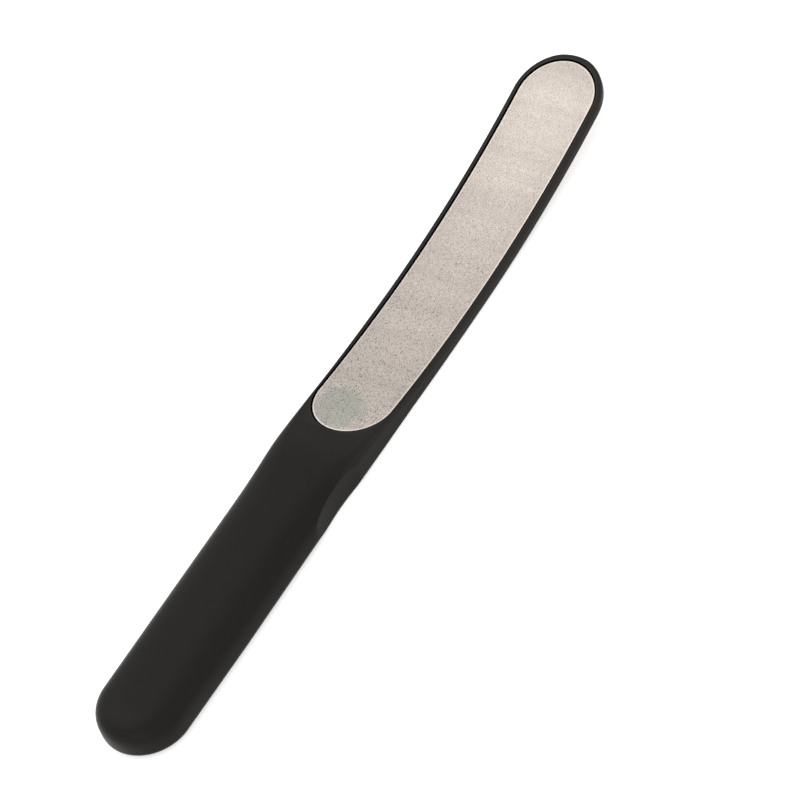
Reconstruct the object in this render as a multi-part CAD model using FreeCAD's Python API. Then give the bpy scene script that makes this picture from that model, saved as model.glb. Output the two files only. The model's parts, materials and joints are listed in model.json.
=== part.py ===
"""Foot file: an arched blade with an abrasive plate let into each face, on a flat paddle handle.

Millimetres. +X runs from the handle's end to the blade's tip, +Y is the left side seen from above
with the tip ahead, +Z is up through the front face. The origin lies under the middle of the file,
on the surface it rests on.
"""
import FreeCAD, Part
import math
import os

from FreeCAD import Vector

# Whole file
OVERALL_LENGTH = 260.0

# Handle. Distances along the file are measured from the handle's end.
HANDLE_WIDTH = 28.0
HANDLE_END_HEIGHT = 11.1
HANDLE_FRONT_RADIUS = 5.5
HANDLE_BACK_RADIUS = 2.6
FLARE_START = 102.0
FLARE_LENGTH = 63.0

# Neck, where the front face rolls down to the blade and the soft edges turn crisp
NECK_HEIGHT = 10.1
NECK_RADIUS = 92.0
CRISPING_START = 98.0
CRISPING_LENGTH = 26.5

# Blade, arched so that its front face is hollow along its length
BLADE_WIDTH = 29.6
BLADE_THICKNESS = 3.2
BLADE_EDGE_RADIUS = 0.9
BLADE_ARCH_RADIUS = 376.0
BELLY_DISTANCE = 173.4

# Finger hollows, one in each side of the neck, with a drafted wall and a leaning foot
HOLLOW_DISTANCE = 95.5
HOLLOW_RADIUS = 70.0
HOLLOW_FRONT_DEPTH = 1.1
HOLLOW_BACK_DEPTH = 0.4
HOLLOW_FOOT_HEIGHT = 2.4
HOLLOW_FOOT_DEPTH = 1.4

# Abrasive plates, kept within the handle's side lines, from beyond the neck to just short of the tip
PLATE_SIDE_MARGIN = 1.3
PLATE_HEEL_DISTANCE = 115.5
PLATE_TIP_MARGIN = 2.5
PLATE_THICKNESS = 0.4
PLATE_SETBACK = 0.25
PLATE_SIDE_GAP = 0.3

# Adhesive film under each plate
FILM_THICKNESS = 0.15
FILM_INSET = 0.6

# Overrun of every cutting shape past what it cuts
OVERRUN = 5.0

UP = Vector(0, 0, 1)
ACROSS = Vector(0, 1, 0)

# Sizes that follow from the ones above
HANDLE_END_X = -OVERALL_LENGTH / 2
TIP_X = OVERALL_LENGTH / 2
HANDLE_HALF = HANDLE_WIDTH / 2
BLADE_HALF = BLADE_WIDTH / 2
BELLY_X = HANDLE_END_X + BELLY_DISTANCE
ARCH_CENTRE = Vector(BELLY_X, 0, BLADE_THICKNESS + BLADE_ARCH_RADIUS)
PLATE_HALF = min(HANDLE_HALF, BLADE_HALF) - PLATE_SIDE_MARGIN
PLATE_HEEL_X = HANDLE_END_X + PLATE_HEEL_DISTANCE
RECESS_DEPTH = PLATE_SETBACK + PLATE_THICKNESS + FILM_THICKNESS


def at_angle(centre, radius, angle):
    """Point of a circle in the side view, with the angle measured from +Z towards +X."""
    return centre + Vector(radius * math.sin(angle), 0, radius * math.cos(angle))


def side_arc(centre, radius, start, end):
    """Arc in the side view between two angles."""
    middle = (start + end) / 2
    return Part.Arc(
        at_angle(centre, radius, start), at_angle(centre, radius, middle), at_angle(centre, radius, end)
    ).toShape()


def line(start, end):
    return Part.LineSegment(start, end).toShape()


def neck_geometry():
    """Centre of the neck's roll, and the angles where the handle and the arch meet it."""
    reach = BLADE_ARCH_RADIUS + NECK_RADIUS
    centre_z = NECK_HEIGHT - NECK_RADIUS
    rise = ARCH_CENTRE.z - centre_z
    centre = Vector(BELLY_X - math.sqrt(reach ** 2 - rise ** 2), 0, centre_z)
    arch_angle = math.asin((BELLY_X - centre.x) / reach)
    # The handle's front runs from its end height as a tangent to the roll.
    away = Vector(HANDLE_END_X, 0, HANDLE_END_HEIGHT) - centre
    handle_angle = math.atan2(away.x, away.z) + math.acos(NECK_RADIUS / away.Length)
    return centre, handle_angle, arch_angle


NECK_CENTRE, NECK_HANDLE_ANGLE, NECK_ARCH_ANGLE = neck_geometry()


def front_edges(depth):
    """Front face in the side view, sunk by a depth, from beyond the handle's end to beyond the tip."""
    roll = NECK_RADIUS - depth
    arch = BLADE_ARCH_RADIUS + depth
    neck_start = at_angle(NECK_CENTRE, roll, NECK_HANDLE_ANGLE)
    along = Vector(math.cos(NECK_HANDLE_ANGLE), 0, -math.sin(NECK_HANDLE_ANGLE))
    handle_run = (neck_start.x - HANDLE_END_X + OVERRUN) / along.x
    tip_angle = math.asin((TIP_X + OVERRUN - BELLY_X) / arch)
    return [
        line(neck_start - along * handle_run, neck_start),
        side_arc(NECK_CENTRE, roll, NECK_HANDLE_ANGLE, NECK_ARCH_ANGLE),
        side_arc(ARCH_CENTRE, arch, math.pi + NECK_ARCH_ANGLE, math.pi - tip_angle),
    ]


def back_edges(depth):
    """Back face in the side view, sunk by a depth: flat under the handle, arched under the blade."""
    arch = BLADE_ARCH_RADIUS + BLADE_THICKNESS - depth
    tip_angle = math.asin((TIP_X + OVERRUN - BELLY_X) / arch)
    return [
        line(Vector(HANDLE_END_X - OVERRUN, 0, depth), Vector(BELLY_X, 0, depth)),
        side_arc(ARCH_CENTRE, arch, math.pi, math.pi - tip_angle),
    ]


def slab(upper, lower):
    """Solid between two side-view curves, as wide as any piece and a little more."""
    width = max(HANDLE_WIDTH, BLADE_WIDTH) + OVERRUN
    top = Part.Wire(upper)
    bottom = Part.Wire(lower)
    start = line(lower[0].valueAt(lower[0].FirstParameter), upper[0].valueAt(upper[0].FirstParameter))
    end = line(upper[-1].valueAt(upper[-1].LastParameter), lower[-1].valueAt(lower[-1].LastParameter))
    outline = Part.Wire(Part.__sortEdges__([start] + top.Edges + [end] + bottom.Edges))
    face = Part.Face(outline)
    face.translate(ACROSS * (-width / 2))
    return face.extrude(ACROSS * width)


def along_side(start_x, end_x, y):
    """Straight edge along one side in the plan view."""
    return line(Vector(start_x, y, 0), Vector(end_x, y, 0))


def plan_arc(centre_x, radius, toward):
    """Half circle in the plan view that closes an outline at one end."""
    return Part.Arc(
        Vector(centre_x, radius, 0), Vector(centre_x + toward * radius, 0, 0), Vector(centre_x, -radius, 0)
    ).toShape()


def upright(edges):
    """Plan outline raised through every height of the file."""
    face = Part.Face(Part.Wire(Part.__sortEdges__(edges)))
    face.translate(UP * -OVERRUN)
    return face.extrude(UP * (OVERRUN + OVERALL_LENGTH))


def flare_edges(side):
    """S-shaped change from the handle's half width to the blade's, on one side."""
    start_x = HANDLE_END_X + FLARE_START
    step = BLADE_HALF - HANDLE_HALF
    radius = (FLARE_LENGTH ** 2 + step ** 2) / (4 * step)
    swing = math.asin(FLARE_LENGTH / (2 * radius))
    half_run = radius * math.sin(swing / 2)
    half_step = radius * (1 - math.cos(swing / 2))
    first = Vector(start_x, side * HANDLE_HALF, 0)
    middle = Vector(start_x + FLARE_LENGTH / 2, side * (HANDLE_HALF + BLADE_HALF) / 2, 0)
    last = Vector(start_x + FLARE_LENGTH, side * BLADE_HALF, 0)
    near_handle = Part.Arc(first, first + Vector(half_run, side * half_step, 0), middle).toShape()
    near_blade = Part.Arc(middle, last - Vector(half_run, side * half_step, 0), last).toShape()
    return [near_handle, near_blade]


def body_outline():
    """Paddle handle, flare and blade in the plan view."""
    handle_centre = HANDLE_END_X + HANDLE_HALF
    tip_centre = TIP_X - BLADE_HALF
    flare_start = HANDLE_END_X + FLARE_START
    edges = [plan_arc(handle_centre, HANDLE_HALF, -1), plan_arc(tip_centre, BLADE_HALF, 1)]
    for side in (1, -1):
        edges.append(along_side(handle_centre, flare_start, side * HANDLE_HALF))
        edges.extend(flare_edges(side))
        edges.append(along_side(flare_start + FLARE_LENGTH, tip_centre, side * BLADE_HALF))
    return edges


def strip_outline(grow):
    """Round-ended outline of the plate, grown or shrunk all round."""
    radius = PLATE_HALF + grow
    tip_centre = TIP_X - PLATE_TIP_MARGIN - PLATE_HALF
    heel_centre = PLATE_HEEL_X + PLATE_HALF
    edges = [plan_arc(heel_centre, radius, -1), plan_arc(tip_centre, radius, 1)]
    for side in (1, -1):
        edges.append(along_side(heel_centre, tip_centre, side * radius))
    return edges


def edge_radius(x, handle_radius):
    """Rounding of a long edge: soft on the handle, crisp on the blade."""
    share = (x - HANDLE_END_X - CRISPING_START) / CRISPING_LENGTH
    share = min(max(share, 0), 1)
    return handle_radius + (BLADE_EDGE_RADIUS - handle_radius) * share


def runs_anticlockwise(edge):
    """Whether an edge of the outline runs anticlockwise round the file, seen from above."""
    middle = (edge.FirstParameter + edge.LastParameter) / 2
    place = edge.valueAt(middle)
    spine_end = TIP_X - HANDLE_HALF
    outward = place - Vector(min(max(place.x, -spine_end), spine_end), 0, place.z)
    return outward.cross(edge.tangentAt(middle)).z > 0


def outline_edges(shape, facing):
    """Numbers and edges where the face that looks up (1) or down (-1) meets the sides."""
    found = []
    for number, edge in enumerate(shape.Edges, 1):
        place = edge.valueAt((edge.FirstParameter + edge.LastParameter) / 2)
        heights = []
        for face in shape.ancestorsOfType(edge, Part.Face):
            u, v = face.Surface.parameter(place)
            heights.append(facing * face.normalAt(u, v).z)
        if max(heights) > math.sin(math.pi / 4) > abs(min(heights)):
            found.append((number, edge))
    return found


def rounded(blank):
    """Blank with its front and back outlines rounded, softer on the handle than on the blade."""
    doc = FreeCAD.newDocument("rounding")
    source = doc.addObject("Part::Feature", "blank")
    source.Shape = blank
    radii = []
    for facing, handle_radius in ((1, HANDLE_FRONT_RADIUS), (-1, HANDLE_BACK_RADIUS)):
        outline = outline_edges(source.Shape, facing)
        # The first edge sets the way round in which each edge's two radii are read.
        way_round = runs_anticlockwise(outline[0][1])
        for number, edge in outline:
            ends = [edge.valueAt(edge.FirstParameter).x, edge.valueAt(edge.LastParameter).x]
            if runs_anticlockwise(edge) != way_round:
                ends.reverse()
            radii.append((number, *(edge_radius(x, handle_radius) for x in ends)))
    rounding = doc.addObject("Part::Fillet", "rounded")
    rounding.Base = source
    rounding.Edges = radii
    doc.recompute()
    result = rounding.Shape.copy()
    FreeCAD.closeDocument(doc.Name)
    return result


def finger_hollow(side):
    """Cutter beside the neck: a wide drafted drum that bites deepest at the front, and its foot."""
    draft = HOLLOW_FRONT_DEPTH - HOLLOW_BACK_DEPTH
    lean_share = draft / NECK_HEIGHT
    back_radius = HOLLOW_RADIUS - draft
    start_z = -OVERRUN
    axis_y = side * (HANDLE_HALF - HOLLOW_FRONT_DEPTH + HOLLOW_RADIUS)
    start = Vector(HANDLE_END_X + HOLLOW_DISTANCE, axis_y, start_z)
    drum = Part.makeCone(
        back_radius - lean_share * OVERRUN, HOLLOW_RADIUS + lean_share * OVERRUN,
        NECK_HEIGHT + OVERRUN + OVERRUN, start
    )
    # The foot leans in towards the floor, so that the lower edge stays soft to a fingertip.
    foot_share = HOLLOW_FOOT_DEPTH / HOLLOW_FOOT_HEIGHT
    foot_radius = back_radius + HOLLOW_FOOT_DEPTH
    foot = Part.makeCone(
        foot_radius + foot_share * OVERRUN, back_radius, HOLLOW_FOOT_HEIGHT + OVERRUN, start
    )
    return drum.fuse(foot)


def make_body():
    """Black moulding: one solid with a recess in each face of the blade."""
    body = rounded(slab(front_edges(0), back_edges(0)).common(upright(body_outline())))
    for side in (1, -1):
        body = body.cut(finger_hollow(side))
    recess_plan = upright(strip_outline(PLATE_SIDE_GAP))
    body = body.cut(slab(front_edges(-OVERRUN), front_edges(RECESS_DEPTH)).common(recess_plan))
    return body.cut(slab(back_edges(RECESS_DEPTH), back_edges(-OVERRUN)).common(recess_plan))


def make_strip(profile, outer_depth, inner_depth, grow):
    """Thin round-ended strip that follows one face of the blade between two depths."""
    curves = [profile(outer_depth), profile(inner_depth)]
    if profile is back_edges:
        curves.reverse()
    return slab(curves[0], curves[1]).common(upright(strip_outline(grow)))


def main():
    os.makedirs("parts", exist_ok=True)
    plate_floor = PLATE_SETBACK + PLATE_THICKNESS
    pieces = {"body": make_body()}
    for face, profile in (("front", front_edges), ("rear", back_edges)):
        pieces[face + "_abrasive_plate"] = make_strip(profile, PLATE_SETBACK, plate_floor, 0)
        pieces[face + "_adhesive_film"] = make_strip(profile, plate_floor, RECESS_DEPTH, -FILM_INSET)
    for name, shape in pieces.items():
        shape.exportStep("parts/" + name + ".step")
        print(name, "volume", round(shape.Volume, 2), "solids", len(shape.Solids), "valid", shape.isValid())


main()
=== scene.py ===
# %% [markdown]
# # Dressing a foot file
# The file is a flat paddle handle that rolls down to an arched blade, with a strip of textured
# nickel let into each face of the blade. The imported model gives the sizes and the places, and this
# lesson makes what the eye sees: a smooth moulded body, two crisp metal strips, their finishes, a
# white floor, soft light and the camera. Lengths on the file are written in millimetres and turned
# to metres by MM, while the camera's distance, the floor and the lamps are in metres.

import json
import math

import bmesh
import bpy
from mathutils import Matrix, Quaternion, Vector

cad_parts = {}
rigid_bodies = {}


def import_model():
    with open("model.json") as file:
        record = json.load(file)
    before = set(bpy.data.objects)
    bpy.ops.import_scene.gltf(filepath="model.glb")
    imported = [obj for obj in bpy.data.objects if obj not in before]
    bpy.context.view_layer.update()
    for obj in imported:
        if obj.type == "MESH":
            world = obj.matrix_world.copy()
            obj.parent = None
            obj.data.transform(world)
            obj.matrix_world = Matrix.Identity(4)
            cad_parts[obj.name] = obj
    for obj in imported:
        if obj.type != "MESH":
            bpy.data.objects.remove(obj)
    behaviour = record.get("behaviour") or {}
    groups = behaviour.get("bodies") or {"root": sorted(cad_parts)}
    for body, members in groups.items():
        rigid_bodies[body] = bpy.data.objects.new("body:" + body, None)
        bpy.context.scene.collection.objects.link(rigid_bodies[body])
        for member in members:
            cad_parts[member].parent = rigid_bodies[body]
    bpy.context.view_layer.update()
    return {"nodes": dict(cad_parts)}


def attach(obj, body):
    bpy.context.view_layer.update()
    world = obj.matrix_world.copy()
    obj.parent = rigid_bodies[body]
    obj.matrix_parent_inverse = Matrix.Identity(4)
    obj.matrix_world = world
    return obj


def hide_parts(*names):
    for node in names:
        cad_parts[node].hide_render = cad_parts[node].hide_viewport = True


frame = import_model()
MM = 0.001
print("nodes:", sorted(frame["nodes"]))

# %% [markdown]
# ## The camera
# The camera comes first, because it decides which details are worth the work. The file was looked
# at from above its right side and its handle's end, well back and with a long lens, and the picture
# was turned so that the file runs from the lower left to the upper right. A direction, a distance,
# a point to aim at and a roll say all of that without any shift of the lens.

# %% Place the camera
AIM_POINT = Vector((3.41, -11.69, 4.0)) * MM
AZIMUTH, ELEVATION, ROLL = (math.radians(angle) for angle in (-129.965, 47.154, -23.963))
DISTANCE, CLIP_START = 1.4354, 0.05
FOCAL_LENGTH, SENSOR_WIDTH = 226.05, 36

towards_camera = Vector((
    math.cos(ELEVATION) * math.cos(AZIMUTH), math.cos(ELEVATION) * math.sin(AZIMUTH), math.sin(ELEVATION)
))
camera = bpy.data.objects.new("camera", bpy.data.cameras.new("camera"))
bpy.context.scene.collection.objects.link(camera)
camera.location = AIM_POINT + towards_camera * DISTANCE
camera.rotation_mode = "QUATERNION"
camera.rotation_quaternion = towards_camera.to_track_quat("Z", "Y") @ Quaternion((0, 0, 1), ROLL)
camera.data.sensor_width = SENSOR_WIDTH
camera.data.lens = FOCAL_LENGTH
camera.data.clip_start = CLIP_START
bpy.context.scene.camera = camera
print("camera at", [round(value, 4) for value in camera.location])

# %% [markdown]
# ## The side view in numbers
# Everything on this file follows two curves seen from the side. The front face is a straight slope
# along the handle, a roll over the neck and a long hollow arch. The back is flat up to the belly
# and then follows the same arch, one blade thickness lower. The roll touches the slope and the arch,
# and where it does so follows from the other sizes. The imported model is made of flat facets, so its
# tip ends a hair short of 130, and this one stays inside it.

# %% Sizes of the two curves
HANDLE_END, TIP = -130.0, 129.98
HANDLE_HALF, BLADE_HALF = 14.0, 14.8
HANDLE_END_HEIGHT, NECK_HEIGHT, NECK_RADIUS = 11.1, 10.1, 92.0
BLADE_THICKNESS, ARCH_RADIUS, BELLY = 3.2, 376.0, 43.4

ARCH_CENTRE_Z = BLADE_THICKNESS + ARCH_RADIUS
NECK_CENTRE_Z = NECK_HEIGHT - NECK_RADIUS
REACH = ARCH_RADIUS + NECK_RADIUS
NECK_X = BELLY - math.sqrt(REACH ** 2 - (ARCH_CENTRE_Z - NECK_CENTRE_Z) ** 2)
ROLL_END = NECK_X + NECK_RADIUS * (BELLY - NECK_X) / REACH
SLOPE_RUN = Vector((HANDLE_END - NECK_X, HANDLE_END_HEIGHT - NECK_CENTRE_Z))
SLOPE_ANGLE = math.atan2(SLOPE_RUN.x, SLOPE_RUN.y) + math.acos(NECK_RADIUS / SLOPE_RUN.length)
ROLL_START = NECK_X + NECK_RADIUS * math.sin(SLOPE_ANGLE)
print("the roll runs from", round(ROLL_START, 2), "to", round(ROLL_END, 2))

# %% [markdown]
# Two small functions give the heights for any place along the file, and every piece uses them, so
# the pieces fit each other. Two more give half the width of the outline, and how far the edges have
# turned from soft to crisp.

# %% Heights, outline and crispness along the file
FLARE_START, FLARE_END = -28.0, 35.0
CRISPING_START, CRISPING_END = -36.0, -5.5


def how_far(value, start, end):
    """How far a value has come from start to end, from 0 to 1."""
    return min(max((value - start) / (end - start), 0.0), 1.0)


def front_height(x):
    """Height of the front face above the floor."""
    if x < ROLL_START:
        return HANDLE_END_HEIGHT - (x - HANDLE_END) * math.tan(SLOPE_ANGLE)
    if x < ROLL_END:
        return NECK_CENTRE_Z + math.sqrt(NECK_RADIUS ** 2 - (x - NECK_X) ** 2)
    return ARCH_CENTRE_Z - math.sqrt(ARCH_RADIUS ** 2 - (x - BELLY) ** 2)


def back_height(x):
    """Height of the back face above the floor."""
    if x < BELLY:
        return 0.0
    return ARCH_CENTRE_Z - math.sqrt((ARCH_RADIUS + BLADE_THICKNESS) ** 2 - (x - BELLY) ** 2)


def half_width(x):
    """Half the width of the body between its round ends, easing in and out of the flare."""
    share = how_far(x, FLARE_START, FLARE_END)
    eased = 2 * share * share if share < 0.5 else 1 - 2 * (1 - share) ** 2
    return HANDLE_HALF + (BLADE_HALF - HANDLE_HALF) * eased


def crispness(x):
    """How crisp the edges are at a place along the file: 0 on the handle, 1 on the blade."""
    share = how_far(x, CRISPING_START, CRISPING_END)
    return share * (2 - share)


print("front height at end, neck and tip:", [round(front_height(x), 2) for x in (HANDLE_END, NECK_X, TIP)])

# %% [markdown]
# ## Working on one piece at a time
# An operator acts on whatever is selected, so each step first clears the selection. These helpers
# open a piece for editing and pick its points or edges by their place. Two places that are closer
# together than a hair count as one.

# %% Helpers for opening a piece and picking its parts
HAIR = 0.02


def only(piece):
    """Makes one piece the selected and active one."""
    bpy.ops.object.select_all(action="DESELECT")
    piece.select_set(True)
    bpy.context.view_layer.objects.active = piece


def open_mesh(piece, mode="VERT"):
    """Opens a piece for editing with nothing selected."""
    only(piece)
    bpy.ops.object.mode_set(mode="EDIT")
    bpy.ops.mesh.select_mode(type=mode)
    bpy.ops.mesh.select_all(action="DESELECT")


def close_mesh():
    """Goes back from editing to whole objects."""
    bpy.ops.object.mode_set(mode="OBJECT")


def pick_points(piece, wanted):
    """Selects the points whose place passes a test."""
    mesh = bmesh.from_edit_mesh(piece.data)
    for face in mesh.faces:
        face.select = False
    for point in mesh.verts:
        point.select = bool(wanted(point.co / MM))
    mesh.select_flush(True)
    bmesh.update_edit_mesh(piece.data)


def pick_edges(piece, wanted):
    """Selects the edges whose two ends pass a test."""
    mesh = bmesh.from_edit_mesh(piece.data)
    for edge in mesh.edges:
        edge.select = bool(wanted(edge.verts[0].co / MM, edge.verts[1].co / MM))
    bmesh.update_edit_mesh(piece.data)


# %% [markdown]
# A flat face can't follow a curve, so a shape gets slices across it where it will bend. Modifiers
# are put on for good as soon as they are made, because the next step needs the mesh they give.

# %% Helpers for slicing, finishing and measuring


def spaced(start, end, step):
    """Places from start to end, about a step apart."""
    count = max(1, round((end - start) / step))
    return [start + (end - start) * number / count for number in range(count + 1)]


def slice_along(places, axis):
    """Cuts all of the open mesh square to one axis, at each place."""
    direction = [float(axis == letter) for letter in "XYZ"]
    for place in places:
        bpy.ops.mesh.select_all(action="SELECT")
        bpy.ops.mesh.bisect(plane_co=[place * MM * part for part in direction], plane_no=direction)


def apply_all(piece):
    """Applies every modifier of a piece in order."""
    only(piece)
    for modifier in list(piece.modifiers):
        bpy.ops.object.modifier_apply(modifier=modifier.name)


def smooth_up_to(piece, angle):
    """Shades a piece smooth, and leaves edges sharp that turn by more than an angle in degrees."""
    only(piece)
    bpy.ops.object.shade_smooth_by_angle(angle=math.radians(angle))


def size_of(piece):
    """Length, width and height of a piece in millimetres."""
    return [round(value / MM, 2) for value in piece.dimensions]


# %% [markdown]
# ## One recipe for every long round-ended shape
# The body, the strips and the cutters for their beds are all slabs with round ends. A drum is a
# good start: it already has a round rim and flat caps. It is cut at its middle, its halves are
# pulled apart to the full length, and the long sides that appear get extra points where the
# outline has to swell from the handle to the blade. The caps stay whole until the edges are
# rounded, because a bevel needs room on both sides of an edge.

# %% Stretch a drum into a slab


def round_ended_slab(name, start, end, half_start, half_end, thickness, around):
    """Slab from start to end along the file, standing on the floor, with round ends."""
    bpy.ops.object.select_all(action="DESELECT")
    bpy.ops.mesh.primitive_cylinder_add(
        vertices=around, radius=half_start * MM, depth=thickness * MM, location=(0, 0, thickness * MM / 2)
    )
    piece = bpy.context.object
    piece.name = piece.data.name = name
    only(piece)
    bpy.ops.object.transform_apply(location=True, rotation=True, scale=True)
    open_mesh(piece)
    slice_along((-HAIR, HAIR), "X")
    for side, centre, half in ((-1, start + half_start, half_start), (1, end - half_end, half_end)):
        pick_points(piece, lambda place: place.x * side > HAIR / 2)
        bpy.ops.transform.resize(value=(half / half_start, half / half_start, 1), center_override=(0, 0, 0))
        bpy.ops.transform.translate(value=(centre * MM, 0, 0))
    close_mesh()
    return piece


def split_long_sides(piece, start, end, cuts):
    """Adds points along the two long sides, and leaves the caps whole."""
    open_mesh(piece, "EDGE")
    pick_edges(piece, lambda one, two: abs(one.x - two.x) > (end - start) / 2)
    bpy.ops.mesh.subdivide(number_cuts=cuts, quadcorner="INNERVERT")
    close_mesh()


# %% [markdown]
# ## Pushing a flat slab onto the curves
# A slab is made flat, where rounding and cutting are easy. It then has to follow the side view. A
# displace modifier moves points along one axis by an amount that each point carries as a weight, so
# one step bends the front to its curve and the back to its own, and the roundings keep their form.

# %% Push points along an axis
LEAST_SPREAD = 1e-6


def push(piece, axis, shift_at):
    """Moves each point along an axis by the distance that shift_at gives for its place."""
    shifts = [shift_at(point.co / MM) for point in piece.data.vertices]
    lowest, spread = min(shifts), max(max(shifts) - min(shifts), LEAST_SPREAD)
    group = piece.vertex_groups.new(name="push")
    for number, shift in enumerate(shifts):
        group.add([number], (shift - lowest) / spread, "REPLACE")
    move = piece.modifiers.new("move", "DISPLACE")
    move.direction, move.mid_level, move.strength = axis, 0, spread * MM
    move.vertex_group = "push"
    apply_all(piece)
    open_mesh(piece)
    bpy.ops.mesh.select_all(action="SELECT")
    bpy.ops.transform.translate(value=[lowest * MM * (axis == letter) for letter in "XYZ"])
    close_mesh()
    piece.vertex_groups.clear()


# %% [markdown]
# ## The body
# The real body is one black moulding. The front of its handle rolls off softly to the sides, where
# it lies in the palm, the back edges are tighter, and all of them turn crisp at the neck. It starts
# as a slab that is thicker than the body, and the rows of points along its sides are spread to the
# outline, row by row.

# %% Flat slab with its outline
SLAB, BODY_AROUND, SIDE_CUTS = 20.0, 112, 119
SIDE_START, SIDE_END = HANDLE_END + HANDLE_HALF, TIP - BLADE_HALF

body = round_ended_slab("moulded_body", HANDLE_END, TIP, HANDLE_HALF, BLADE_HALF, SLAB, BODY_AROUND)
split_long_sides(body, SIDE_START, SIDE_END, SIDE_CUTS)

rows = []
for x, y in sorted((point.co.x / MM, point.co.y / MM) for point in body.data.vertices):
    if y > 0 and SIDE_START < x < SIDE_END and (not rows or x - rows[-1][0] > HAIR):
        rows.append((x, y))
open_mesh(body)
for x, y in rows:
    pick_points(body, lambda place: abs(place.x - x) < HAIR)
    bpy.ops.transform.resize(value=(1, half_width(x) / y, 1), center_override=(x * MM, 0, 0))
close_mesh()
print("rows of points along the sides:", len(rows))

# %% [markdown]
# A bevel that reads a weight on each edge rounds both caps in one go, and the weight falls from
# handle to blade. It works on the edges between a wall and a cap: a wall's normal has next to no
# upright part, and a cap's has hardly anything else. What lies above the parting height belongs to
# the front, and what lies below it to the back.

# %% Round the edges
PARTING_HEIGHT = 6.0
FRONT_ROUNDING, BACK_ROUNDING, BLADE_ROUNDING, ROUNDING_STEPS = 10.0, 2.6, 0.9, 18
WALL_AT_MOST, CAP_AT_LEAST = 0.1, 0.9

edit = bmesh.new()
edit.from_mesh(body.data)
weight = edit.edges.layers.float.new("bevel_weight_edge")
for edge in edit.edges:
    upright = sorted(abs(face.normal.z) for face in edge.link_faces)
    if upright[0] < WALL_AT_MOST and upright[-1] > CAP_AT_LEAST:
        middle = (edge.verts[0].co + edge.verts[1].co) / 2 / MM
        soft = FRONT_ROUNDING if middle.z > PARTING_HEIGHT else BACK_ROUNDING
        edge[weight] = (soft + (BLADE_ROUNDING - soft) * crispness(middle.x)) / FRONT_ROUNDING
edit.to_mesh(body.data)
edit.free()

rounding = body.modifiers.new("rounding", "BEVEL")
rounding.limit_method, rounding.width = "WEIGHT", FRONT_ROUNDING * MM
rounding.segments = ROUNDING_STEPS
rounding.use_clamp_overlap = False
apply_all(body)
print("rounded slab:", len(body.data.polygons), "faces")

# %% [markdown]
# Only now is the slab cut across, finely where it will curve, and pushed onto the side view. The
# soft roll starts gently and steepens towards the side, so its round depth is remapped on the way.
# The last millimetre of the front stays level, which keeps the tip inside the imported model.

# %% Slices and the side view
HANDLE_STEP, BLADE_STEP = 4.0, 2.5
FIRST_SLICE, LAST_COARSE_SLICE, FIRST_FINE_SLICE, LAST_SLICE = HANDLE_END + 1.0, -50.0, -48.0, TIP - 0.5
GENTLE_DEPTH, STEEP_DEPTH = 3.8, 2.8
LEVEL_FROM = TIP - 1.0

open_mesh(body)
slice_along(spaced(FIRST_SLICE, LAST_COARSE_SLICE, HANDLE_STEP), "X")
slice_along(spaced(FIRST_FINE_SLICE, LAST_SLICE, BLADE_STEP), "X")
close_mesh()


def to_side_view(place):
    """Rise of a point of the flat slab to the front's curve or the back's."""
    if place.z < PARTING_HEIGHT:
        return back_height(place.x)
    crisp = crispness(place.x)
    share = (SLAB - place.z) / (FRONT_ROUNDING + (BLADE_ROUNDING - FRONT_ROUNDING) * crisp)
    soft_depth = share * (GENTLE_DEPTH + STEEP_DEPTH * share ** 2)
    depth = soft_depth + (BLADE_ROUNDING * share - soft_depth) * crisp
    return front_height(min(place.x, LEVEL_FROM)) - depth - place.z


push(body, "Z", to_side_view)
print("body:", size_of(body))

# %% [markdown]
# A mould needs walls that lean a little, or the part won't leave it. So the handle's sides spread
# towards the back by half a millimetre or so. The lean grows over the first part of the handle and
# fades out over the neck, so the handle's end and the blade stay upright.

# %% Lean the handle's sides
LEAN, LEAN_TOP, LEAN_FOOT = 0.6, 9.0, 2.6
LEAN_GROWTH, LEAN_FADE = (-125.0, -85.0), (-40.0, 5.0)


def lean(place):
    """How far a side spreads outwards at a place."""
    grown, faded = how_far(place.x, *LEAN_GROWTH), how_far(place.x, *LEAN_FADE)
    low = how_far(place.z, LEAN_TOP, LEAN_FOOT)
    return LEAN * grown * (1 - faded) * low * place.y / HANDLE_HALF


push(body, "Y", lean)
print("body after the lean:", size_of(body))

# %% [markdown]
# ## The finger hollows
# A finger and a thumb rest in two shallow hollows at the neck. Where a wide drum bites into a soft
# edge, the bite has just their lens shape. The drum's wall leans a little, as a mould needs, and
# flares again at its foot, so that the lower edge stays soft. It starts as a plain drum, is cut
# into rings, and each ring gets its own radius.

# %% Shape the cutter of a hollow
HOLLOW_X, HOLLOW_RADIUS, HOLLOW_AROUND = -34.5, 70.0, 420
HOLLOW_FRONT, HOLLOW_BACK = 1.05, 0.4
FOOT_HEIGHT, FOOT_ROUNDING, FOOT_SPARE = 1.3, 1.1, 0.2
CUTTER_FOOT, LOWEST_RING, CUTTER_TOP = -1.0, 0.05, NECK_HEIGHT + 2.0
RINGS = (LOWEST_RING, 0.12, 0.25, 0.42, 0.65, 0.95, FOOT_HEIGHT)


def bite(height):
    """How deep the drum's wall is inside the handle's side at a height."""
    depth = HOLLOW_BACK + (HOLLOW_FRONT - HOLLOW_BACK) * height / NECK_HEIGHT
    if height < FOOT_HEIGHT:
        share = (FOOT_HEIGHT - max(height, LOWEST_RING)) / (FOOT_HEIGHT + FOOT_SPARE)
        depth += FOOT_ROUNDING * (1 - math.sqrt(1 - share ** 2))
    return depth


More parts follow.
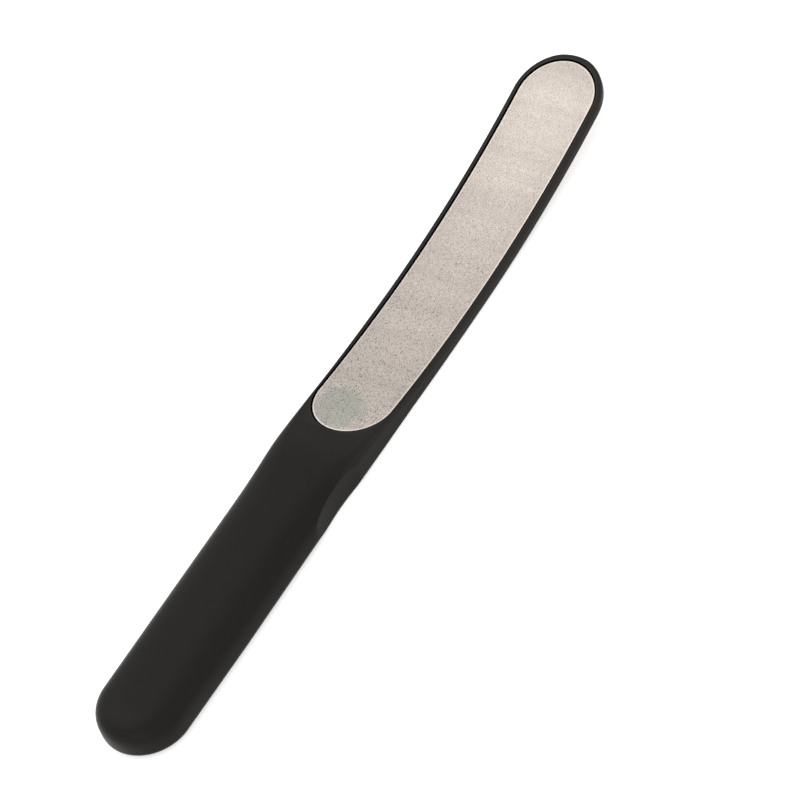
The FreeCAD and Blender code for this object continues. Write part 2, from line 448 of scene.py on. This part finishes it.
def hollow_cutter(side):
    """Drum beside the neck that just bites into its side."""
    centre_x, centre_y = HOLLOW_X * MM, side * (HANDLE_HALF + HOLLOW_RADIUS) * MM
    bpy.ops.object.select_all(action="DESELECT")
    bpy.ops.mesh.primitive_cylinder_add(
        vertices=HOLLOW_AROUND, radius=HOLLOW_RADIUS * MM, depth=(CUTTER_TOP - CUTTER_FOOT) * MM,
        location=(centre_x, centre_y, (CUTTER_TOP + CUTTER_FOOT) / 2 * MM)
    )
    cutter = bpy.context.object
    bpy.ops.object.transform_apply(location=True, rotation=True, scale=True)
    open_mesh(cutter)
    slice_along(RINGS, "Z")
    for height in (CUTTER_FOOT, *RINGS, CUTTER_TOP):
        pick_points(cutter, lambda place: abs(place.z - height) < HAIR)
        growth = 1 + bite(height) / HOLLOW_RADIUS
        centre = (centre_x, centre_y, height * MM)
        bpy.ops.transform.resize(value=(growth, growth, 1), center_override=centre)
    close_mesh()
    return cutter


print("bite at the back and at the front:", [round(bite(height), 2) for height in (0, NECK_HEIGHT)])

# %% [markdown]
# A boolean takes each drum out of the body. The exact solver keeps the rim of the bite clean even
# where the drum only just grazes the side.

# %% Cut the hollows


def cut_away(piece, cutter):
    """Takes one shape out of a piece and throws the cutter away."""
    cut = piece.modifiers.new("cut", "BOOLEAN")
    cut.operation, cut.solver, cut.object = "DIFFERENCE", "EXACT", cutter
    apply_all(piece)
    bpy.data.objects.remove(cutter)


for side in (1, -1):
    cut_away(body, hollow_cutter(side))
print("body with hollows:", len(body.data.polygons), "faces")

# %% [markdown]
# ## The beds of the strips
# Each strip lies in a shallow bed with a hairline gap all round. The bed's cutter is the same
# round-ended slab, a little larger than the strip, lifted onto the face that it cuts. Its inner
# side follows the bed's floor. Just under the face it starts to flare, which leaves a fine chamfer
# along the bed's mouth, as on a real moulding, where a knife edge would chip.

# %% Shape the cutter of a bed
STRIP_HALF, STRIP_LENGTH, TIP_MARGIN = 12.7, 142.0, 2.5
STRIP_THICKNESS, SETBACK, SIDE_GAP, FILM = 0.4, 0.25, 0.3, 0.15
STRIP_START, STRIP_END = TIP - TIP_MARGIN - STRIP_LENGTH, TIP - TIP_MARGIN
BED_DEPTH = SETBACK + STRIP_THICKNESS + FILM
CHAMFER, BED_CUTTER, BED_AROUND = 0.12, 3.0, 128


def strip_slab(name, grow, thickness, around):
    """Flat slab with the strip's outline, grown all round."""
    half = STRIP_HALF + grow
    return round_ended_slab(name, STRIP_START - grow, STRIP_END + grow, half, half, thickness, around)


def bed_cutter(facing):
    """Slab with its floor at the bed's depth, that flares from just under the face outwards."""
    cutter = strip_slab("bed", SIDE_GAP, BED_CUTTER, BED_AROUND)
    mouth = BED_DEPTH - CHAMFER if facing > 0 else BED_CUTTER - BED_DEPTH + CHAMFER
    open_mesh(cutter)
    slice_along((mouth,), "Z")
    growth = 1 + (BED_CUTTER - BED_DEPTH + CHAMFER) / (STRIP_HALF + SIDE_GAP)
    for side, centre in ((-1, STRIP_START + STRIP_HALF), (1, STRIP_END - STRIP_HALF)):
        pick_points(
            cutter, lambda place: (place.z - mouth) * facing > HAIR / 2 and (place.x - BELLY) * side > 0
        )
        bpy.ops.transform.resize(value=(growth, growth, 1), center_override=(centre * MM, 0, 0))
    slice_along(spaced(STRIP_START, STRIP_END, BLADE_STEP), "X")
    close_mesh()
    return cutter


print("a strip's bed is", round(BED_DEPTH, 2), "deep, and the strip runs to", round(STRIP_END, 2))

# %% [markdown]
# Both cutters are pushed onto the curves of the side view, as the body was, and taken out of it.

# %% Cut the two beds
for facing, face_height in ((1, front_height), (-1, back_height)):
    bed = bed_cutter(facing)
    floor_shift = -BED_DEPTH if facing > 0 else BED_DEPTH - BED_CUTTER
    push(bed, "Z", lambda place: face_height(place.x) + floor_shift)
    cut_away(body, bed)
print("body with beds:", len(body.data.polygons), "faces")

# %% [markdown]
# The rolls are shaded smooth, and every real edge stays sharp, even the faint one where a hollow
# runs out into the side. So the limit between the two is a low angle, just above the steps of a roll.

# %% Clean the mesh and shade it smooth
MERGE_WITHIN, BODY_SMOOTH_ANGLE = 0.004, 14

open_mesh(body)
bpy.ops.mesh.select_all(action="SELECT")
bpy.ops.mesh.remove_doubles(threshold=MERGE_WITHIN * MM)
bpy.ops.mesh.normals_make_consistent(inside=False)
close_mesh()
smooth_up_to(body, BODY_SMOOTH_ANGLE)
print("loose edges:", sum(1 for edge in body.data.edges if edge.is_loose))
print("finished body:", size_of(body))

# %% [markdown]
# ## Where the body wears
# Lacquer thins on edges first, and the crisp ones of the blade lose it sooner than the soft ones of
# the handle. A value on each point tells the finish where that is: it is highest on the blade's
# edges, where the surface leans halfway between face and side, lower on the rest of the blade, and
# faint on the handle.

# %% Mark the worn edges
HALFWAY = 45
HANDLE_WEAR, FACE_WEAR, EDGE_WEAR = 0.15, 0.25, 0.75
PLAINLY_WORN = 0.3

wear = body.data.attributes.new("wear", "FLOAT", "POINT")
for number, point in enumerate(body.data.vertices):
    off_halfway = abs(math.degrees(math.asin(min(abs(point.normal.z), 1))) - HALFWAY) / HALFWAY
    x = point.co.x / MM
    worn_here = FACE_WEAR * how_far(x, 0, BELLY) + EDGE_WEAR * max(1 - off_halfway, 0)
    wear.data[number].value = max(crispness(x), HANDLE_WEAR) * worn_here
print("points that wear:", sum(1 for value in wear.data if value.value > PLAINLY_WORN))

# %% [markdown]
# ## The nickel strips
# Each strip is a thin sheet, stamped with round ends, so its rim has a tiny roll from the press
# that catches the light as a bright line. It starts as the same slab, gets that roll from a bevel,
# and is then sliced finely and lifted into its bed, where it lies on the glue film.

# %% Make both strips
STRIP_AROUND, STRIP_STEP = 144, 1.5
PRESS_ROLL, PRESS_ROLL_STEPS = 0.09, 3
RIM_ANGLE, STRIP_SMOOTH_ANGLE = 40, 32


def make_strip(name, face_height, outward):
    """Strip of sheet metal that follows one face of the blade."""
    strip = strip_slab(name, 0, STRIP_THICKNESS, STRIP_AROUND)
    roll = strip.modifiers.new("roll", "BEVEL")
    roll.limit_method, roll.angle_limit = "ANGLE", math.radians(RIM_ANGLE)
    roll.width, roll.segments = PRESS_ROLL * MM, PRESS_ROLL_STEPS
    apply_all(strip)
    open_mesh(strip)
    slice_along(spaced(STRIP_START, STRIP_END, STRIP_STEP), "X")
    close_mesh()
    shift = -SETBACK - STRIP_THICKNESS if outward > 0 else SETBACK
    push(strip, "Z", lambda place: face_height(place.x) + shift)
    smooth_up_to(strip, STRIP_SMOOTH_ANGLE)
    return strip


front_strip = make_strip("front_nickel_strip", front_height, 1)
rear_strip = make_strip("rear_nickel_strip", back_height, -1)
print("strips:", len(front_strip.data.polygons), "and", len(rear_strip.data.polygons), "faces")

# %% [markdown]
# ## Finishes
# A finish is a small graph of nodes. Object coordinates are used throughout, because they are real
# sizes in metres: a grain of a tenth of a millimetre is the same everywhere on a piece. Patterns
# are noises, so the first helpers make a finish, a noise and a change of its range.

# %% Helpers for patterns


def new_finish(name):
    """Empty material with a shader and object coordinates."""
    material = bpy.data.materials.new(name)
    material.use_nodes = True
    nodes, links = material.node_tree.nodes, material.node_tree.links
    shader = nodes["Principled BSDF"]
    place = nodes.new("ShaderNodeTexCoord")
    return material, nodes, links, shader, place.outputs["Object"]


def noise(nodes, links, place, scale, detail=3.0, roughness=0.5, stretch=None):
    """Noise of a given scale per metre, perhaps stretched along an axis."""
    texture = nodes.new("ShaderNodeTexNoise")
    texture.inputs["Scale"].default_value = scale
    texture.inputs["Detail"].default_value = detail
    texture.inputs["Roughness"].default_value = roughness
    if stretch:
        mapping = nodes.new("ShaderNodeMapping")
        mapping.inputs["Scale"].default_value = stretch
        links.new(place, mapping.inputs["Vector"])
        place = mapping.outputs["Vector"]
    links.new(place, texture.inputs["Vector"])
    return texture.outputs["Fac"]


def remap(nodes, links, value, low, high, out_low, out_high, smooth=False):
    """Stretches a range of values onto another one."""
    node = nodes.new("ShaderNodeMapRange")
    node.interpolation_type = "SMOOTHSTEP" if smooth else "LINEAR"
    for socket, number in zip(("From Min", "From Max", "To Min", "To Max"), (low, high, out_low, out_high)):
        node.inputs[socket].default_value = number
    links.new(value, node.inputs["Value"])
    return node.outputs["Result"]


# %% [markdown]
# The others mix colours, work with two values and turn heights into relief. Nearly all of a noise
# lies between 0.3 and 0.7, so that is the range that the finishes below stretch to their own.

# %% Helpers for colours, sums and relief
NOISE_RANGE = (0.3, 0.7)


def blend_colours(nodes, links, share, one, two):
    """Mixes two colours, or a colour and what a socket gives, by a share."""
    node = nodes.new("ShaderNodeMix")
    node.data_type = "RGBA"
    links.new(share, node.inputs["Factor"])
    for socket, colour in ((node.inputs["A"], one), (node.inputs["B"], two)):
        if isinstance(colour, tuple):
            socket.default_value = (*colour, 1)
        else:
            links.new(colour, socket)
    return node.outputs["Result"]


def shaded(colour, share):
    """A colour made darker or brighter by a share, and never brighter than full."""
    return tuple(min(part * share, 1) for part in colour)


def calculate(nodes, links, operation, one, two=0):
    """Adds, multiplies or compares two values, or works on the first alone."""
    node = nodes.new("ShaderNodeMath")
    node.operation = operation
    for socket, value in zip(node.inputs, (one, two)):
        if isinstance(value, (int, float)):
            socket.default_value = value
        else:
            links.new(value, socket)
    return node.outputs["Value"]


def how_far_off(nodes, links, value, centre):
    """Distance of a value from a centre."""
    return calculate(nodes, links, "ABSOLUTE", calculate(nodes, links, "SUBTRACT", value, centre))


def bump(nodes, links, shader, heights, relief, strength):
    """Turns a height map into the shader's surface relief, of a height in millimetres."""
    node = nodes.new("ShaderNodeBump")
    node.inputs["Distance"].default_value = relief * MM
    node.inputs["Strength"].default_value = strength
    links.new(heights, node.inputs["Height"])
    links.new(node.outputs["Normal"], shader.inputs["Normal"])


# %% [markdown]
# Two finishes need to know how far a place is from a strip's rim. A strip is all that lies within
# half its width of a spine, the line between the centres of its round ends, so the distance from
# that spine tells it.

# %% Distance from the spine


def from_spine(nodes, links, place):
    """Distance in metres from the line between the centres of a strip's two round ends."""
    parts = nodes.new("ShaderNodeSeparateXYZ")
    links.new(place, parts.inputs["Vector"])
    middle = (STRIP_START + STRIP_END) / 2 * MM
    half_spine = (STRIP_LENGTH / 2 - STRIP_HALF) * MM
    along = how_far_off(nodes, links, parts.outputs["X"], middle)
    beyond = calculate(nodes, links, "MAXIMUM", calculate(nodes, links, "SUBTRACT", along, half_spine), 0)
    across_squared = calculate(nodes, links, "MULTIPLY", parts.outputs["Y"], parts.outputs["Y"])
    beyond_squared = calculate(nodes, links, "POWER", beyond, 2)
    return calculate(nodes, links, "SQRT", calculate(nodes, links, "ADD", beyond_squared, across_squared))


# %% [markdown]
# ## Soft-touch black
# The body has a rubbery lacquer: nearly black, never shiny, with a grain that is felt more than
# seen. Rubbed places go a little darker and smoother, and edges a little paler, since the lacquer
# is thinner there. The hairline gaps round the strips, and a hair of the face beside them, are
# painted near black with no shine, as painted shade.

# %% Colour of the lacquer
CLOUDS_PER_METRE, SPECKS_PER_METRE = 28.0, 2600.0
RUBBED, FRESH = (0.0078, 0.0071, 0.0057), (0.0096, 0.0088, 0.0072)
THIN_LACQUER, GAP_PAINTED_SHADE = (0.028, 0.0268, 0.0245), (0.001, 0.001, 0.001)
GAP_FADE, LACQUER_SHINE = 0.1, 0.10

soft_black, nodes, links, shader, place = new_finish("soft_touch_black")
cloudy = noise(nodes, links, place, CLOUDS_PER_METRE)
worn = nodes.new("ShaderNodeAttribute")
worn.attribute_name = "wear"
base = blend_colours(nodes, links, cloudy, RUBBED, FRESH)
paler = blend_colours(nodes, links, worn.outputs["Fac"], base, THIN_LACQUER)
mouth_edge = STRIP_HALF + SIDE_GAP + CHAMFER
# Painted shade: near black and no shine in the gaps round the strips, fading out just past the mouth.
gap = remap(
    nodes, links, from_spine(nodes, links, place), mouth_edge * MM, (mouth_edge + GAP_FADE) * MM, 1.0, 0.0
)
links.new(blend_colours(nodes, links, gap, paler, GAP_PAINTED_SHADE), shader.inputs["Base Color"])
links.new(remap(nodes, links, gap, 0.0, 1.0, LACQUER_SHINE, 0.0), shader.inputs["Specular IOR Level"])
print("the gap's black has faded out", round(mouth_edge + GAP_FADE, 2), "from the spine")

# %% [markdown]
# The grain is a fine noise. It changes the gloss a little from speck to speck, and it raises the
# specks by a few hundredths of a millimetre.

# %% Grain of the lacquer
RUBBED_ROUGHNESS, FRESH_ROUGHNESS, SPECK_ROUGHNESS = 0.34, 0.40, 0.03
SPECK_RELIEF, SPECK_STRENGTH = 0.03, 0.35

speck = noise(nodes, links, place, SPECKS_PER_METRE, detail=2.0, roughness=0.6)
clouds = remap(nodes, links, cloudy, *NOISE_RANGE, RUBBED_ROUGHNESS, FRESH_ROUGHNESS)
specks = remap(nodes, links, speck, *NOISE_RANGE, -SPECK_ROUGHNESS, SPECK_ROUGHNESS)
links.new(calculate(nodes, links, "ADD", clouds, specks), shader.inputs["Roughness"])
bump(nodes, links, shader, speck, SPECK_RELIEF, SPECK_STRENGTH)
print("body finish:", len(nodes), "nodes")

# %% [markdown]
# ## Nickel with raised curls
# The strip is etched all over with tiny raised curls. Where a smooth noise crosses one value near
# its middle, it draws closed wandering lines, which are just such curls, so the distance from that
# value gives their height. A second line just beside the first is painted shade, the shadow at the
# foot of each curl; it is darkest at the heel of the strip and fades towards the tip.

# %% Lines of the curls
CURL_VALUE, CURL_CREST, CURL_EDGE = 0.45, 0.02, 0.075
FOOT_VALUE, FOOT_CORE, FOOT_EDGE = 0.53, 0.01, 0.06
FOOT_SHADE_FULL_AT, FOOT_SHADE_FADED_AT, FOOT_SHADE_LEFT = -15.0, 100.0, 0.4


def line_at(nodes, links, wander, value, core, edge):
    """One along the line where a noise has a value, falling to nought beside it."""
    off = how_far_off(nodes, links, wander, value)
    return remap(nodes, links, off, core, edge, 1.0, 0.0, smooth=True)


def foot_shade_of(nodes, links, place, wander):
    """Share of painted shade at the foot of the curls, falling from the heel to the tip."""
    along = nodes.new("ShaderNodeSeparateXYZ")
    links.new(place, along.inputs["Vector"])
    foot = line_at(nodes, links, wander, FOOT_VALUE, FOOT_CORE, FOOT_EDGE)
    fade = remap(nodes, links, along.outputs["X"], FOOT_SHADE_FULL_AT * MM, FOOT_SHADE_FADED_AT * MM, 1.0, FOOT_SHADE_LEFT)
    return calculate(nodes, links, "MULTIPLY", foot, fade)


# %% [markdown]
# A cool grey patch at the front strip's heel is a painted reflection. A round gradient gives its soft
# edge, and a noise added to it makes that edge ragged.

# %% The painted reflection
REFLECTION_CENTRE, REFLECTION_REACH = (-7.5, 3.0), (13.0, 12.0)
FLAT = (1, 1, 0)
RAGGED_PER_METRE, RAGGED = 260.0, 0.12
REFLECTION_EDGE, REFLECTION_CORE, REFLECTION_STRENGTH = 0.15, 0.5, 0.85


def painted_reflection_patch(nodes, links, place):
    """Share of a soft-edged patch of painted reflection at the heel of the strip."""
    mapping = nodes.new("ShaderNodeMapping")
    mapping.inputs["Scale"].default_value = FLAT
    for axis, (centre, reach) in enumerate(zip(REFLECTION_CENTRE, REFLECTION_REACH)):
        mapping.inputs["Scale"].default_value[axis] = 1 / (reach * MM)
        mapping.inputs["Location"].default_value[axis] = -centre / reach
    links.new(place, mapping.inputs["Vector"])
    ball = nodes.new("ShaderNodeTexGradient")
    ball.gradient_type = "SPHERICAL"
    links.new(mapping.outputs["Vector"], ball.inputs["Vector"])
    ragged_noise = noise(nodes, links, place, RAGGED_PER_METRE, detail=2.0)
    ragged = remap(nodes, links, ragged_noise, *NOISE_RANGE, -RAGGED, RAGGED)
    patch = calculate(nodes, links, "ADD", ball.outputs["Fac"], ragged)
    return remap(nodes, links, patch, REFLECTION_EDGE, REFLECTION_CORE, 0.0, REFLECTION_STRENGTH, smooth=True)


# %% [markdown]
# Faint bands across the strip come from the rolling of the sheet, and a band along the rim is
# painted brighter than the field, as a painted highlight. The rear strip has the same curls, only finer.

# %% Colour of the nickel
NICKEL, REFLECTION_SHARES = (0.55, 0.491, 0.442), (0.68, 0.79, 0.77)
BAND_SHADE, FOOT_SHADOW_SHADE, RIM_HIGHLIGHT_SHADE = 0.60, 0.30, 1.28
BANDS_PER_METRE, BAND_STRETCH, BAND_RANGE, BAND_STRENGTH = 60.0, (4.0, 0.25, 1.0), (0.35, 0.65), 0.2
RIM_HIGHLIGHT_START, RIM_HIGHLIGHT_FULL = STRIP_HALF - 0.6, STRIP_HALF - 0.3


def nickel_colour(nodes, links, place, wander, with_reflection):
    """Warm nickel with bands, perhaps a painted reflection, painted shade at the curls' feet and a painted
    highlight on the rim.
    """
    bands = noise(nodes, links, place, BANDS_PER_METRE, detail=2.0, stretch=BAND_STRETCH)
    dull = remap(nodes, links, bands, *BAND_RANGE, 0.0, BAND_STRENGTH)
    metal = blend_colours(nodes, links, dull, NICKEL, shaded(NICKEL, BAND_SHADE))
    if with_reflection:
        # Painted reflection: a cool grey patch at the heel of the front strip.
        reflected_grey = tuple(part * share for part, share in zip(NICKEL, REFLECTION_SHARES))
        metal = blend_colours(nodes, links, painted_reflection_patch(nodes, links, place), metal, reflected_grey)
    # Painted shade: the dark line at the foot of each curl.
    foot_shade = foot_shade_of(nodes, links, place, wander)
    field = blend_colours(nodes, links, foot_shade, metal, shaded(NICKEL, FOOT_SHADOW_SHADE))
    # Painted highlight: a band along the strip's rim is painted brighter.
    rim = remap(nodes, links, from_spine(nodes, links, place), RIM_HIGHLIGHT_START * MM, RIM_HIGHLIGHT_FULL * MM, 0.0, 1.0)
    return blend_colours(nodes, links, rim, field, shaded(NICKEL, RIM_HIGHLIGHT_SHADE))


# %% [markdown]
# The crests of the curls are polished by the skin that they rub, so they are a little smoother than
# the field between them. They stand a few hundredths of a millimetre high.

# %% Finish of the strips
FIELD_ROUGHNESS, CREST_ROUGHNESS = 0.38, 0.30
GRIME_PER_METRE, GRIME_ROUGHNESS = 300.0, (-0.03, 0.05)
COARSE_CURLS, COARSE_RELIEF = 1450.0, 0.03
FINE_CURLS, FINE_RELIEF = 2400.0, 0.02
CURL_STRENGTH = 0.8


def nickel(name, curls_per_metre, relief, with_reflection=False):
    """Warm satin nickel with raised curls of a given fineness."""
    material, nodes, links, shader, place = new_finish(name)
    wander = noise(nodes, links, place, curls_per_metre, detail=0.0)
    curl = line_at(nodes, links, wander, CURL_VALUE, CURL_CREST, CURL_EDGE)
    links.new(nickel_colour(nodes, links, place, wander, with_reflection), shader.inputs["Base Color"])
    shader.inputs["Metallic"].default_value = 1.0
    grime = noise(nodes, links, place, GRIME_PER_METRE, roughness=0.6)
    polish = remap(nodes, links, curl, 0.0, 1.0, FIELD_ROUGHNESS, CREST_ROUGHNESS)
    smears = remap(nodes, links, grime, *NOISE_RANGE, *GRIME_ROUGHNESS)
    links.new(calculate(nodes, links, "ADD", polish, smears), shader.inputs["Roughness"])
    bump(nodes, links, shader, curl, relief, CURL_STRENGTH)
    return material


coarse_nickel = nickel("nickel_with_curls", COARSE_CURLS, COARSE_RELIEF, with_reflection=True)
fine_nickel = nickel("nickel_with_fine_curls", FINE_CURLS, FINE_RELIEF)
print("nickel finishes:", [len(finish.node_tree.nodes) for finish in (coarse_nickel, fine_nickel)], "nodes")

# %% [markdown]
# ## The glue film
# A clear grey film holds each strip down. It hides under the strip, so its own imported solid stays,
# with a finish that is faintly cloudy like real double-sided film.

# %% Finish of the glue film
HAZE_PER_METRE, HAZE_RELIEF, HAZE_STRENGTH = 500.0, 0.02, 0.3
GREY_HAZE, PALE_HAZE = (0.42, 0.42, 0.40), (0.56, 0.56, 0.53)
HAZE_ROUGHNESS = (0.35, 0.55)

film_finish, nodes, links, shader, place = new_finish("cloudy_glue_film")
haze = noise(nodes, links, place, HAZE_PER_METRE, detail=4.0)
links.new(blend_colours(nodes, links, haze, GREY_HAZE, PALE_HAZE), shader.inputs["Base Color"])
links.new(remap(nodes, links, haze, *NOISE_RANGE, *HAZE_ROUGHNESS), shader.inputs["Roughness"])
bump(nodes, links, shader, haze, HAZE_RELIEF, HAZE_STRENGTH)
for node_name in ("front_adhesive_film", "rear_adhesive_film"):
    film = frame["nodes"][node_name]
    film.data.materials.clear()
    film.data.materials.append(film_finish)
    print(node_name, "has the finish", film_finish.name)

# %% [markdown]
# ## Tying the pieces to the imported model
# Each piece gets its finish, the body that it moves with, and the imported solid that it stands for,
# which is hidden.

# %% Put the finishes on and tie the pieces
for piece, finish, node_name, slot_name in (
    (body, soft_black, "body", "body"),
    (front_strip, coarse_nickel, "front_abrasive_plate", "coarse_plate"),
    (rear_strip, fine_nickel, "rear_abrasive_plate", "fine_plate"),
):
    piece.data.materials.clear()
    piece.data.materials.append(finish)
    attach(piece, "root")
    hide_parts(node_name)
    print(piece.name, "stands for", node_name)

# %% [markdown]
# ## The floor
# The file lies on a wide white floor. Seen by the camera or in a reflection, the floor glows just
# enough to read as paper white, yet it still takes the file's shadow. In the light that it throws
# onto the file it is only plain white card.

# %% White floor
FLOOR_SIZE, FLOOR_GLOW = 8, 0.5
CARD_PER_METRE, CARD_ROUGHNESS = 40.0, 0.9
GREY_CARD, WHITE_CARD, WHITE = (0.80, 0.80, 0.80), (0.82, 0.82, 0.82), (1, 1, 1, 1)


def seen_directly(nodes, links):
    """One for rays from the camera, from a mirror or through glass, and nought for the rest."""
    rays = nodes.new("ShaderNodeLightPath").outputs
    mirrored = calculate(nodes, links, "MAXIMUM", rays["Is Glossy Ray"], rays["Is Transmission Ray"])
    return calculate(nodes, links, "MAXIMUM", rays["Is Camera Ray"], mirrored)


bpy.ops.object.select_all(action="DESELECT")
bpy.ops.mesh.primitive_plane_add(size=FLOOR_SIZE, location=(0, 0, 0))
floor = bpy.context.object
floor.name = "floor"
card, nodes, links, shader, place = new_finish("white_card")
fibres = noise(nodes, links, place, CARD_PER_METRE)
links.new(blend_colours(nodes, links, fibres, GREY_CARD, WHITE_CARD), shader.inputs["Base Color"])
glow = calculate(nodes, links, "MULTIPLY", seen_directly(nodes, links), FLOOR_GLOW)
links.new(glow, shader.inputs["Emission Strength"])
shader.inputs["Emission Color"].default_value = WHITE
shader.inputs["Roughness"].default_value = CARD_ROUGHNESS
floor.data.materials.append(card)
print("floor:", FLOOR_SIZE, "m wide")

# %% [markdown]
# ## Soft studio light
# Two large soft boxes and a bright room give an even light. The main one stands high on the left of
# the file, so the left edge of the body is the paler one, and the tip, which tilts back towards the
# handle, mirrors more of it than the heel of the strip. The weaker one stands low behind the
# handle's end.

# %% Lamps and room


def soft_box(name, size, power, location):
    """Square area lamp at a place in metres, turned towards the middle of the file."""
    lamp = bpy.data.objects.new(name, bpy.data.lights.new(name, "AREA"))
    lamp.data.shape, lamp.data.size, lamp.data.energy = "SQUARE", size, power
    lamp.location = location
    lamp.rotation_euler = Vector(location).to_track_quat("Z", "Y").to_euler()
    bpy.context.scene.collection.objects.link(lamp)
    print(name, "is", round(lamp.location.length, 2), "m away")


soft_box("main_box", size=1.4, power=7.8, location=(0.05, 1.1, 1.8))
soft_box("fill_box", size=1.2, power=3.0, location=(-1.5, -0.4, 0.9))

world = bpy.data.worlds.new("room")
bpy.context.scene.world = world
world.use_nodes = True
room = world.node_tree.nodes["Background"]
room.inputs["Color"].default_value = WHITE
room.inputs["Strength"].default_value = 1.0

bpy.context.scene.view_settings.view_transform = "Standard"
